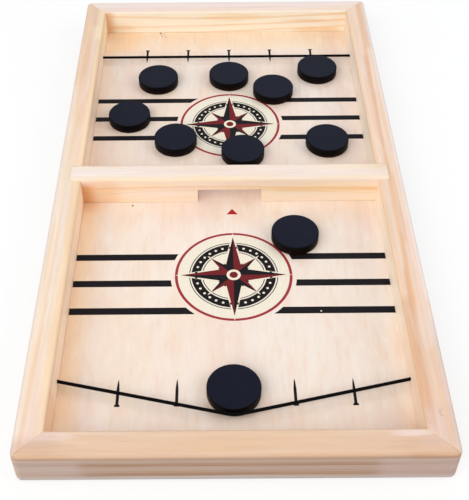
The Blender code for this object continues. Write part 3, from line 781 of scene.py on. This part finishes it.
def cord(name, points, material, body, radius=CORD_RADIUS, sides=16,
         capped=(False, False), start_length=0.0):
    """A round cord along points. Its braid is laid out in metres along it and in turns round it."""
    shape = bmesh.new()
    layer = shape.loops.layers.uv.new("braid")
    points = [Vector(point) for point in points]
    rings = []
    lengths = [start_length]
    side = (points[1] - points[0]).cross(Vector((0, 0, 1)))
    for index, point in enumerate(points):
        before = points[max(index - 1, 0)]
        after = points[min(index + 1, len(points) - 1)]
        tangent = (after - before).normalized()
        side = (side - tangent * side.dot(tangent)).normalized()
        lift = side.cross(tangent)
        ring = []
        for step in range(sides):
            angle = math.tau * step / sides
            way = side * math.cos(angle) + lift * math.sin(angle)
            ring.append(shape.verts.new(point + way * radius))
        rings.append(ring)
        if index:
            lengths.append(lengths[-1] + (point - before).length)
    for index, (low, high) in enumerate(zip(rings, rings[1:])):
        for step in range(sides):
            after = (step + 1) % sides
            face = shape.faces.new((low[step], low[after], high[after], high[step]))
            places = ((index, step), (index, step + 1), (index + 1, step + 1), (index + 1, step))
            for loop, (ring, turn) in zip(face.loops, places):
                loop[layer].uv = (lengths[ring], turn / sides)
    for ring, wanted in ((rings[0], capped[0]), (rings[-1], capped[1])):
        if wanted:
            shape.faces.new(ring)
    bmesh.ops.recalc_face_normals(shape, faces=shape.faces)
    return link(name, mesh_of(shape, name, CORD_SMOOTH_ANGLE), material, body)


# Slings

# The drawn cord: its distance from the puck's centre, its slope, and half the stretch that lies on the puck
HOLD_RADIUS = PUCK_RADIUS + PUCK_CLEARANCE + CORD_RADIUS
DRAWN_ANGLE = (math.atan2(PUCK_DRAW, COURT_HALF_WIDTH)
               + math.asin(HOLD_RADIUS / math.hypot(COURT_HALF_WIDTH, PUCK_DRAW)))
NEAR_GRIP = HOLD_RADIUS * math.sin(DRAWN_ANGLE)
# Half of the straight cord's middle stretch
FAR_GRIP = 0.004
# The longest step along a cord, in metres, and how many steps its middle and its ends in the rails have
CORD_STEP = 0.004
MIDDLE_STEPS = 12
ROOT_STEPS = 6
# Where a span is cut, as shares of its length from the rail
BLEND_STEPS = (0.0, 0.03, 0.10, 0.25, 0.50, 0.75, 0.90, 0.97, 1.0)
# The knots: their cord's radius, steps, first turn and turns covered, depth, and cut tail
KNOT_CORD_RADIUS = CORD_RADIUS * 0.92
KNOT_STEPS = 60
KNOT_TURNS = (0.06, 0.88)
KNOT_DEPTH = 1.5
KNOT_TAIL = (0.0006, 0.0004, -0.0008)


def drawn_depth(x):
    """How far behind its holes the drawn cord lies at a place across the court."""
    if abs(x) < NEAR_GRIP:
        return PUCK_DRAW + math.sqrt(HOLD_RADIUS ** 2 - x ** 2)
    return max(0.0, COURT_HALF_WIDTH - abs(x)) * math.tan(DRAWN_ANGLE)


def make_sling(end, sign_y, depth, grip, material):
    """One elastic: ends in the rails, spans cut into short pieces, and the part that is gripped."""
    body = f"{end}_sling"

    def lift(x):
        """The cord's centre at a place across the board."""
        return Vector((x, sign_y * (SLING_Y + depth(x)), SLING_Z))

    reach = COURT_HALF_WIDTH - grip
    name = f"{end}_cord_middle"
    middle = [lift(grip * (2 * step / MIDDLE_STEPS - 1)) for step in range(MIDDLE_STEPS + 1)]
    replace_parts(cord(name, middle, material, body), f"{end}_sling_middle")
    for side, sign_x in SIDES:
        name = f"{end}_cord_{side}_root"
        root = [lift(sign_x * (CORD_END_X + (COURT_HALF_WIDTH - CORD_END_X) * step / ROOT_STEPS))
                for step in range(ROOT_STEPS + 1)]
        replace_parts(cord(name, root, material, "board", capped=(True, False)), f"{end}_sling_{side}")
        for number, (low, high) in enumerate(zip(BLEND_STEPS, BLEND_STEPS[1:]), start=1):
            outer = COURT_HALF_WIDTH - reach * low
            inner = COURT_HALF_WIDTH - reach * high
            count = max(3, math.ceil((outer - inner) / CORD_STEP))
            route = [lift(sign_x * (outer + (inner - outer) * step / count)) for step in range(count + 1)]
            name = f"{end}_cord_{side}_{number}"
            piece = cord(name, route, material, None, start_length=HALF_WIDTH - outer)
            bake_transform(piece)


def make_knot(name, node, sign_x, sign_y, material):
    """An overhand knot pulled tight in its pocket, with a cut tail."""
    scale = ((KNOT_HIGH.y - KNOT_LOW.y) / 2 - KNOT_CORD_RADIUS) / 3
    centre = Vector((sign_x * (KNOT_LOW.x + KNOT_HIGH.x) / 2, sign_y * SLING_Y, SLING_Z))
    middle = Vector((sign_x * CORD_END_X, sign_y * SLING_Y, SLING_Z))
    first, covered = KNOT_TURNS
    points = []
    for step in range(KNOT_STEPS + 1):
        t = math.tau * (first + covered * step / KNOT_STEPS)
        outward = -math.sin(3 * t) * scale * KNOT_DEPTH
        across = (math.sin(t) + 2 * math.sin(2 * t)) * scale
        upward = (math.cos(t) - 2 * math.cos(2 * t)) * scale
        points.append(centre + Vector((outward, across, upward)))
    out, along, up = KNOT_TAIL
    tail = points[-1] + Vector((sign_x * out, along, up))
    route = [middle, middle.lerp(points[0], 0.5), *points, tail]
    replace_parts(cord(name, route, material, "board", KNOT_CORD_RADIUS, 12, (True, True)), node)


# Print

# Places and sizes in metres, as the near court has them. The rows and ticks differ a little by court.
PRINT_SHIFT = Vector((0.0020, 0.0011))
RING_PLACE = (0, -0.098)
RING_RADIUS = 0.0469
RING_LINE = 0.0023
STRIPE_CLEARANCE = 0.0046
STRIPE_ROWS = {"near": (0.0776, 0.1067, 0.1356), "far": (0.0780, 0.1069, 0.1357)}
STRIPE_WIDTH = 0.0068
STRIPE_INSET = 0.0003
TRIANGLE_Y = 0.0271
TRIANGLE_WIDTH = 0.0100
TRIANGLE_HEIGHT = 0.0068
TICK_SPACING = 0.04315
TICK_SHIFT = {"near": -0.0004, "far": -0.0008}
TICK_SPAN = {"near": (0.2008, 0.2247), "far": (0.2013, 0.2242)}
# Half widths of a tick, each at a place from its point or, where that is not above 0, from its head
TICK_SHAPE = ((0.00045, 0.0022), (0.0007, 0.0045), (0.0011, 0.0095), (0.0011, -0.0024), (0.0018, -0.0016),
              (0.0021, -0.0010), (0.0021, -0.0004), (0.0016, 0))
SPECK_PLACE = (0.0703, -0.1356)
SPECK_RADIUS = 0.0007
# Sides of the ring, the wheel, the hub, and of studs and the speck, and steps of a stripe's end
RING_STEPS = 120
WHEEL_STEPS = 96
HUB_STEPS = 32
DOT_STEPS = 12
STRIPE_END_STEPS = 6
# The stars, lower one first: turn, tip, waist, the waist's angle, and whether the second halves are dark
STAR_POINTS = 4
STARS = (
    (math.radians(45), 0.0270, 0.0092, math.radians(22.5), True),
    (0, 0.0430, 0.0098, math.radians(45), False),
)
# The stars' pale border, and its share at their waists and, times their sharpness, at their tips
STAR_BORDER = 0.0016
STAR_BORDER_WAIST = 1.4
STAR_BORDER_TIP = 0.7
WHEEL_OUTER = 0.0345
WHEEL_INNER = 0.0270
WHEEL_LINE = 0.0007
WHEEL_LINE_GAP = 0.0012
WHEEL_STUD = 0.0011
STUD_COUNT = 32
HUB_RADIUS = 0.0058
HUB_CENTRE_RADIUS = 0.0034
INKS = {
    "black_ink": (22, 19, 22), "red_ink": (158, 54, 60), "bright_red_ink": (184, 36, 42),
    "dark_red_ink": (112, 34, 38), "cream_ink": (242, 230, 208), "field_ink": (240, 230, 212),
}


def about(centre, radius, angle):
    """A place about a centre."""
    return (centre[0] + radius * math.cos(angle), centre[1] + radius * math.sin(angle))


def disc(centre, radius, steps):
    """A round outline."""
    return [about(centre, radius, math.tau * step / steps) for step in range(steps)]


def ring_outline(outer, inner, steps):
    """Short quads round the ring's centre, for a line that closes on itself."""
    quads = []
    for step in range(steps):
        first, last = (math.tau * (step + extra) / steps for extra in (0, 1))
        corners = ((inner, first), (outer, first), (outer, last), (inner, last))
        quads.append([about(RING_PLACE, radius, angle) for radius, angle in corners])
    return quads


def star_halves(turn, tip, waist_radius, waist_angle):
    """The two halves of each point of a star, as two lists of triangles."""
    halves = ([], [])
    for number in range(STAR_POINTS):
        angle = turn + math.tau * number / STAR_POINTS
        for half, side in zip(halves, (1, -1)):
            waist = about(RING_PLACE, waist_radius, angle + side * waist_angle)
            half.append([RING_PLACE, about(RING_PLACE, tip, angle), waist][::side])
    return halves


def stripe_end(y):
    """Where a stripe meets the clear circle round a ring, as a distance from the ring's centre line."""
    return math.sqrt(max((RING_RADIUS + STRIPE_CLEARANCE) ** 2 - (y - RING_PLACE[1]) ** 2, 0))


def half_turn(outline, sign_y):
    """Turns the far court's print half round. The whole print lies slightly off centre."""
    return [(PRINT_SHIFT.x - sign_y * x, PRINT_SHIFT.y - sign_y * y) for x, y in outline]


def ornament():
    """A plain compass star over a black wheel, inside the ring: each part's name, outlines, ink and level."""
    wheel = ring_outline(WHEEL_OUTER, WHEEL_INNER, WHEEL_STEPS)
    for radius in (WHEEL_OUTER + WHEEL_LINE_GAP + WHEEL_LINE, WHEEL_INNER - WHEEL_LINE_GAP):
        wheel += ring_outline(radius, radius - WHEEL_LINE, WHEEL_STEPS)
    middle = (WHEEL_OUTER + WHEEL_INNER) / 2
    angles = [math.tau * (number + 0.5) / STUD_COUNT for number in range(STUD_COUNT)]
    studs = [disc(about(RING_PLACE, middle, angle), WHEEL_STUD, DOT_STEPS) for angle in angles]
    border, dark, red = [], [], []
    for turn, tip, waist, waist_angle, dark_second in STARS:
        wide_tip = tip + STAR_BORDER * tip / waist * STAR_BORDER_TIP
        for half in star_halves(turn, wide_tip, waist + STAR_BORDER * STAR_BORDER_WAIST, waist_angle):
            border += half
        first, second = star_halves(turn, tip, waist, waist_angle)
        dark.append(second if dark_second else first)
        red.append(first if dark_second else second)
    return (
        ("wheel", wheel, "black_ink", 1), ("studs", studs, "cream_ink", 2),
        ("star_border", border, "cream_ink", 2),
        ("small_star_dark", dark[0], "black_ink", 3), ("small_star_red", red[0], "dark_red_ink", 3),
        ("star_dark", dark[1], "black_ink", 4), ("star_red", red[1], "dark_red_ink", 4),
        ("hub", [disc(RING_PLACE, HUB_RADIUS, HUB_STEPS)], "cream_ink", 5),
        ("hub_centre", [disc(RING_PLACE, HUB_CENTRE_RADIUS, HUB_STEPS)], "dark_red_ink", 6),
    )


def court_lines(end, sign_y):
    """A court's stripes, ring, field and ticks: each part's name, outlines, ink and level."""
    stripes, ticks = [], []
    for row in STRIPE_ROWS[end]:
        low, high = -row - STRIPE_WIDTH / 2, -row + STRIPE_WIDTH / 2
        heights = [low + (high - low) * step / STRIPE_END_STEPS for step in range(STRIPE_END_STEPS + 1)]
        for side in (-1, 1):
            wall = side * (COURT_HALF_WIDTH - STRIPE_INSET + side * sign_y * PRINT_SHIFT.x)
            stripes.append([(wall, high), (wall, low)] + [(side * stripe_end(y), y) for y in heights])
    point, head = TICK_SPAN[end]
    edge = [(half, -(head + place if place <= 0 else point + place)) for half, place in TICK_SHAPE]
    for number in range(-2, 3):
        x = number * TICK_SPACING + TICK_SHIFT[end]
        left, right = ([(x + side * half, y) for half, y in edge] for side in (-1, 1))
        ticks.append([(x, -point)] + left + right[::-1])
    ring = ring_outline(RING_RADIUS + RING_LINE / 2, RING_RADIUS - RING_LINE / 2, RING_STEPS)
    field = disc(RING_PLACE, RING_RADIUS - RING_LINE / 2 - INK_LIFT, RING_STEPS)
    return (("stripes", stripes, "black_ink", 0), ("ring", ring, "red_ink", 0),
            ("field", [field], "field_ink", 0), ("ticks", ticks, "black_ink", 0))


def make_print(inks):
    """Both courts' print, the triangle, and one speck that the ink missed."""
    for end, sign_y in ENDS:
        for name, outlines, ink_name, level in court_lines(end, sign_y) + ornament():
            outlines = [half_turn(outline, sign_y) for outline in outlines]
            flat_ink(f"{end}_{name}", outlines, inks[ink_name], level)
    half = TRIANGLE_WIDTH / 2
    triangle = [(-half, -TRIANGLE_Y), (half, -TRIANGLE_Y), (0, -TRIANGLE_Y + TRIANGLE_HEIGHT)]
    flat_ink("gate_triangle", [half_turn(triangle, -1)], inks["bright_red_ink"], 0)
    flat_ink("stripe_speck", [disc(SPECK_PLACE, SPECK_RADIUS, DOT_STEPS)], inks["cream_ink"], 1)


# Pucks and glue

# Pucks: steps round each arc of their edge, the radius where their flat faces end, and their sides
PUCK_EDGE_STEPS = 5
PUCK_FACE_RADIUS = PUCK_RADIUS - PUCK_EDGE * 1.6
PUCK_SIDES = 96
# How far each puck's grain is turned against the one before it, in radians
PUCK_TURN = 1.7
# How squarely a rail's face must look across the mitre to be its cut end, as a cosine
MITRE_FACING = 0.999
# A box's sides, by its eight corners in order of X, then Y, then Z
BOX_SIDES = ((0, 1, 3, 2), (4, 6, 7, 5), (0, 4, 5, 1), (2, 3, 7, 6), (0, 2, 6, 4), (1, 5, 7, 3))


def make_pucks(material):
    """Turned discs with softened edges in place of the coarser ones."""
    height = PUCK_HIGH.z - PUCK_LOW.z
    outline = [(0, 0), (PUCK_FACE_RADIUS, 0)]
    for low, high, level in ((270, 360, PUCK_EDGE), (0, 90, height - PUCK_EDGE)):
        for step in range(PUCK_EDGE_STEPS + 1):
            angle = math.radians(low + (high - low) * step / PUCK_EDGE_STEPS)
            outline.append(about((PUCK_RADIUS - PUCK_EDGE, level), PUCK_EDGE, angle))
    outline += [(PUCK_FACE_RADIUS, height), (0, height)]
    mesh = turned("puck", outline, PUCK_SIDES)
    for index, node in enumerate(PUCKS):
        low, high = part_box(node)
        data = mesh.copy()
        data.transform(Matrix.Rotation(index * PUCK_TURN, 4, "Z"))
        piece = add_object(f"{node}_disc", data)
        piece.location = ((low.x + high.x) / 2, (low.y + high.y) / 2, low.z)
        data.materials.append(material)
        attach(piece, node)
        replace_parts(piece, node)


def make_mitre_seams(material):
    """Glue in the mitres: each is the rail's own cut end, a little smaller, drawn out across the gap."""
    for end, sign_y in ENDS:
        for side, sign_x in SIDES:
            facing = Vector((sign_x, -sign_y, 0)).normalized()
            shape = joined(f"rail_{end}")
            others = [face for face in shape.faces if face.normal.dot(facing) < MITRE_FACING]
            bmesh.ops.delete(shape, geom=others, context="FACES")
            middle = sum((vert.co for vert in shape.verts), Vector()) / len(shape.verts)
            for vert in shape.verts:
                vert.co = middle + (vert.co - middle) * SEAM_SHRINK_SHARE + facing * SEAM_CLEARANCE
            thicken(shape, list(shape.faces), facing * SEAM_THICKNESS)
            link_flat(shape, f"{end}_{side}_mitre_glue", material)


def make_bar_seams(material):
    """Glue round the bar's ends, in their housings."""
    low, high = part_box("gate_bar")
    inner, outer = SEAM_CLEARANCE, SEAM_CLEARANCE + SEAM_THICKNESS
    foot, top = low.z, FRAME_TOP - SEAM_THICKNESS
    for side, sign_x in SIDES:
        boxes = [((high.x + inner, high.x + outer), (-high.y - outer, high.y + outer))]
        for sign_y in (-1, 1):
            across = (sign_y * (high.y + inner), sign_y * (high.y + outer))
            boxes.append(((COURT_HALF_WIDTH, high.x + inner / 2), across))
        shape = bmesh.new()
        for xs, ys in boxes:
            verts = [shape.verts.new((sign_x * x, y, z)) for x in xs for y in ys for z in (foot, top)]
            for corners in BOX_SIDES:
                shape.faces.new([verts[corner] for corner in corners])
        link_flat(shape, f"bar_{side}_glue", material)


# Stage, light and camera

# The floor: half its width and its drop, in metres, its colour as light sees it, and how much it glows
STAGE_SIZE = 20
STAGE_DROP = 0.0003
STAGE_COLOUR = (96, 94, 92)
STAGE_GLOW = 0.72
WORLD_LIGHT = 0.425
WORLD_TINT = (1, 0.98, 0.95)
WHITE = (1, 1, 1, 1)
# Soft boxes that look at the origin: place, size, power and colour
LAMPS = {
    "far_light": ((0.25, 1.35, 1.45), 0.9, 5.5, (0.76, 0.95, 1.22)),
    "near_light": ((-0.95, -1.70, 1.60), 2.2, 37, (1, 0.99, 0.975)),
    "left_light": ((-1.90, -0.30, 1.20), 1.6, 9, (1, 1, 1)),
    "right_light": ((1.90, -0.30, 1.20), 1.6, 16, (1, 1, 1)),
}


def make_stage():
    """A wide floor that shows almost as white and keeps the soft shadow."""
    graph = Graph("stage_floor")
    seen = graph.seen()
    graph.finish(graph.mix(seen, rgb(*STAGE_COLOUR), WHITE), 0.9, 0.0)
    glow = graph.node("ShaderNodeEmission", {"Color": WHITE, "Strength": 1.0})
    share = graph.times(seen, STAGE_GLOW)
    blend = graph.node("ShaderNodeMixShader", {0: share, 1: graph.shader.outputs[0], 2: glow.outputs[0]})
    graph.put(graph.tree.nodes["Material Output"].inputs["Surface"], blend.outputs[0])
    shape = bmesh.new()
    bmesh.ops.create_grid(shape, x_segments=2, y_segments=2, size=STAGE_SIZE)
    floor = add_object("floor", mesh_of(shape, "floor"))
    floor.data.materials.append(graph.owner)
    floor.location = (0, 0, -STAGE_DROP)


def make_world():
    """White where the camera and reflections look, and an even, slightly warm light elsewhere."""
    graph = Graph("studio", bpy.data.worlds, "Background")
    bpy.context.scene.world = graph.owner
    light = tuple(WORLD_LIGHT * value for value in WORLD_TINT) + (1,)
    graph.put(graph.shader.inputs["Color"], graph.mix(graph.seen(), light, WHITE))


def make_lamp(name, place, size, power, colour):
    """A square soft box that looks at the origin."""
    data = bpy.data.lights.new(name, "AREA")
    data.shape = "SQUARE"
    data.size = size
    data.energy = power
    data.color = colour
    lamp = add_object(name, data)
    lamp.location = place
    lamp.rotation_euler = (-Vector(place)).to_track_quat("-Z", "Y").to_euler()


def make_camera():
    """The photograph's camera, with its frame shifted as the photograph was cut."""
    data = bpy.data.cameras.new("camera")
    data.sensor_fit = "HORIZONTAL"
    data.sensor_width = SENSOR_WIDTH
    data.lens = FOCAL_PIXELS * SENSOR_WIDTH / IMAGE_WIDTH
    data.shift_x = (IMAGE_WIDTH / 2 - CENTRE_X_PIXELS) / IMAGE_WIDTH
    data.shift_y = (CENTRE_Y_PIXELS - IMAGE_HEIGHT / 2) / IMAGE_WIDTH
    data.clip_start = 0.01
    camera = add_object("camera", data)
    turn = Matrix.Rotation(-CAMERA_YAW, 3, "Z")
    tilt = Matrix.Rotation(CAMERA_PITCH + math.pi / 2, 3, "X")
    spin = Matrix.Rotation(CAMERA_ROLL, 3, "Z")
    pose = (spin @ tilt @ turn).transposed() @ Matrix.Diagonal((1, -1, -1))
    camera.matrix_world = Matrix.Translation(CAMERA_PLACE) @ pose.to_4x4()
    bpy.context.scene.camera = camera


def main():
    """Dresses the whole game."""
    make_camera()
    inks = {name: ink(name, *shade) for name, shade in INKS.items()}
    elastic = woven_elastic()
    for node, settings in BOARDS.items():
        dress_board(node, pine("pine_" + node.split("_")[1], **settings))
    veneer, steel = plywood(), bright_steel()
    for node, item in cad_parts.items():
        if node.startswith(("floor_panel", "v_nail", "panel_brad")):
            item.data.materials.clear()
            item.data.materials.append(veneer if node == "floor_panel" else steel)
    make_sling("near", -1, drawn_depth, NEAR_GRIP, elastic)
    make_sling("far", 1, lambda x: 0.0, FAR_GRIP, elastic)
    for end, sign_y in ENDS:
        for side, sign_x in SIDES:
            make_knot(f"{end}_tie_{side}", f"{end}_knot_{side}", sign_x, sign_y, elastic)
    make_pucks(black_paint())
    seam = glue()
    make_mitre_seams(seam)
    make_bar_seams(seam)
    make_print(inks)
    make_stage()
    make_world()
    for name, settings in LAMPS.items():
        make_lamp(name, *settings)


main()
bpy.context.scene.view_settings.view_transform = "Standard"
